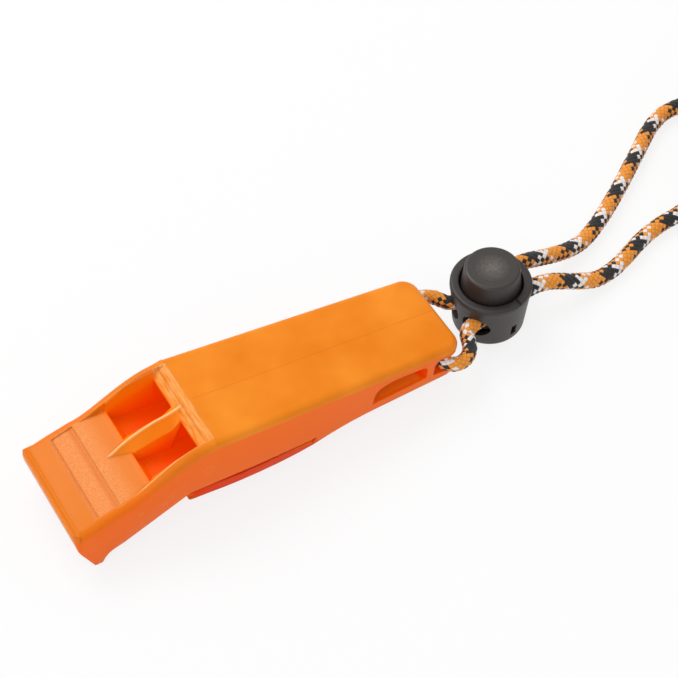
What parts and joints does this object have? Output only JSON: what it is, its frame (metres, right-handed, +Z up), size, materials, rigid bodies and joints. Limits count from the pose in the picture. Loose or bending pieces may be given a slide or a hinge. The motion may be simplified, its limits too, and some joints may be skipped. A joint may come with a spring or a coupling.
{
  "type": "survival whistle",
  "caption": "Flat moulded whistle with bent mouthpiece, twin windows, blade edges and belt clip, on a braided neck cord with a push-button cord lock.",
  "frame": {"origin": "bottom centre of the whistle as it rests, on the surface that it lies on", "axes": "+X from the mouthpiece to the tail, +Y to the far long side, +Z up; the top plate falls by 8 degrees towards the tail"},
  "size_m": [0.1847, 0.0473, 0.0196],
  "materials": {
    "whistle_plastic": "satin moulded, bright orange, faintly translucent",
    "lock_plastic": "satin charcoal",
    "spring_steel": "bright wire",
    "cord_braid": "braided, orange with black and white flecks",
    "tie_band": "woven black band"
  },
  "bodies": {
    "whistle_and_cord": {"whistle": "whistle_plastic", "lock_barrel": "lock_plastic", "lock_spring": "spring_steel", "cord_far": "cord_braid", "cord_near": "cord_braid", "cord_coil": "cord_braid", "coil_tie": "tie_band", "cord_knot": "cord_braid"},
    "button": {"lock_plunger": "lock_plastic"}
  },
  "joints": [
    {"name": "button_press", "type": "slide", "parent": "whistle_and_cord", "child": "button", "axis": [0, 0, -1], "range_m": [0, 0.0016], "stiffness_N_per_m": 500, "springref_m": -0.003, "deforming": ["lock_spring"]}
  ]
}
